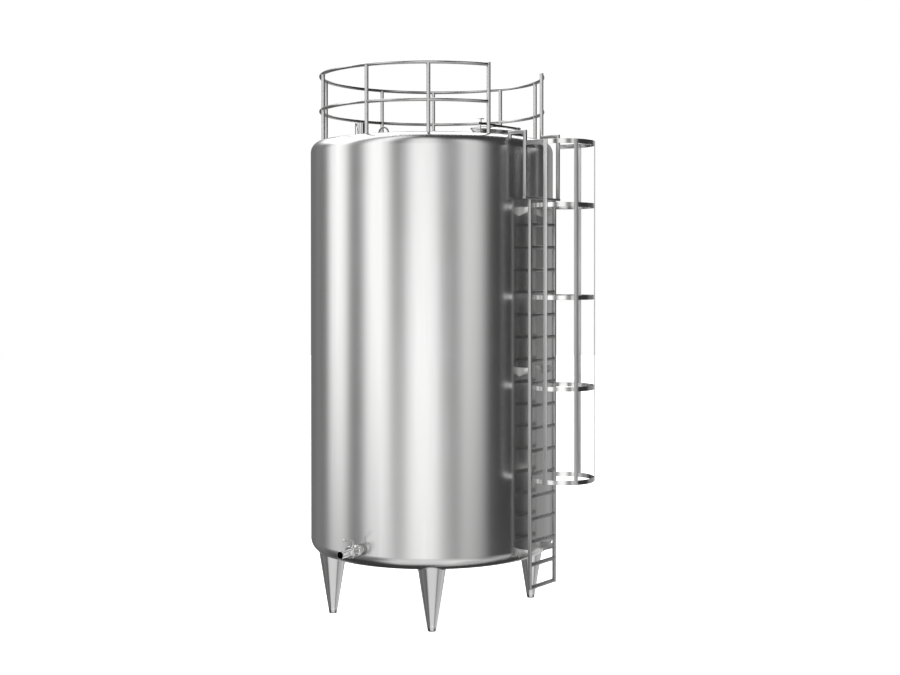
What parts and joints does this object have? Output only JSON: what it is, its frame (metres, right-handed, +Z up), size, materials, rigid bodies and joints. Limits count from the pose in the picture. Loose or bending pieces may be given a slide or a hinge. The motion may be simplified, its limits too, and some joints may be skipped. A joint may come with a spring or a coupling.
{
  "type": "vertical storage tank",
  "caption": "Upright stainless steel storage tank on cone legs, with a caged ladder, a roof railing, a hinged manway, a vent stub and a bottom outlet with a lever valve.",
  "frame": {"origin": "on the ground, in the middle of the whole part's base rectangle; the tank's own axis stands at X -0.441 m, Y +0.212 m from it", "axes": "+Z up along the tank, +X from the tank's axis towards the ladder, -Y roughly towards the outlet"},
  "size_m": [4.2828, 3.8262, 7.465],
  "materials": {
    "shell_steel": "satin stainless steel with a fine vertical grain, roughness about 0.3",
    "leg_steel": "satin stainless steel, roughness about 0.3",
    "tube_steel": "ground stainless steel tube, roughness about 0.25",
    "ladder_steel": "ground stainless steel section and flat bar, roughness about 0.3",
    "fitting_steel": "polished stainless steel, roughness about 0.15",
    "yoke_steel": "dark coated steel bar"
  },
  "bodies": {
    "tank": {"shell_panel_01": "shell_steel", "shell_panel_02": "shell_steel", "shell_panel_03": "shell_steel", "shell_panel_04": "shell_steel", "shell_panel_05": "shell_steel", "shell_panel_06": "shell_steel", "shell_panel_07": "shell_steel", "shell_panel_08": "shell_steel", "roof": "shell_steel", "bottom": "shell_steel", "leg_right_front": "leg_steel", "leg_right_back": "leg_steel", "leg_left_back": "leg_steel", "leg_left_front": "leg_steel", "rail_top": "tube_steel", "rail_middle": "tube_steel", "rail_post_01": "tube_steel", "rail_post_02": "tube_steel", "rail_post_03": "tube_steel", "rail_post_04": "tube_steel", "rail_post_05": "tube_steel", "rail_post_06": "tube_steel", "rail_post_07": "tube_steel", "rail_post_08": "tube_steel", "rail_post_09": "tube_steel", "rail_post_10": "tube_steel", "ladder": "ladder_steel", "ladder_head": "ladder_steel", "cage_hoop_1": "ladder_steel", "cage_hoop_2": "ladder_steel", "cage_hoop_3": "ladder_steel", "cage_hoop_4": "ladder_steel", "cage_hoop_top": "ladder_steel", "cage_strip_1": "ladder_steel", "cage_strip_2": "ladder_steel", "cage_strip_3": "ladder_steel", "cage_strip_4": "ladder_steel", "manway_neck": "fitting_steel", "vent_stub": "fitting_steel", "lifting_eye": "fitting_steel", "outlet_pipe": "fitting_steel", "outlet_valve_body": "fitting_steel", "outlet_spout": "fitting_steel"},
    "manway_cover": {"manway_lid": "fitting_steel", "manway_yoke": "yoke_steel"},
    "manway_screw": {"manway_handwheel": "fitting_steel"},
    "valve_lever": {"outlet_lever": "fitting_steel"}
  },
  "joints": [
    {"name": "manway_hinge", "type": "hinge", "parent": "tank", "child": "manway_cover", "pos_m": [0.70478, 0.66263, 6.69516], "axis": [-0.9945, 0, 0.1043], "range_deg": [0, 90]},
    {"name": "handwheel_turn", "type": "hinge", "parent": "manway_cover", "child": "manway_screw", "pos_m": [0.70529, -0.22537, 6.70004], "axis": [0.1043, 0, 0.9945], "continuous": true},
    {"name": "valve_turn", "type": "hinge", "parent": "tank", "child": "valve_lever", "pos_m": [-0.33184, -1.63312, 1.062], "axis": [0, 0, 1], "range_deg": [0, 90]}
  ]
}
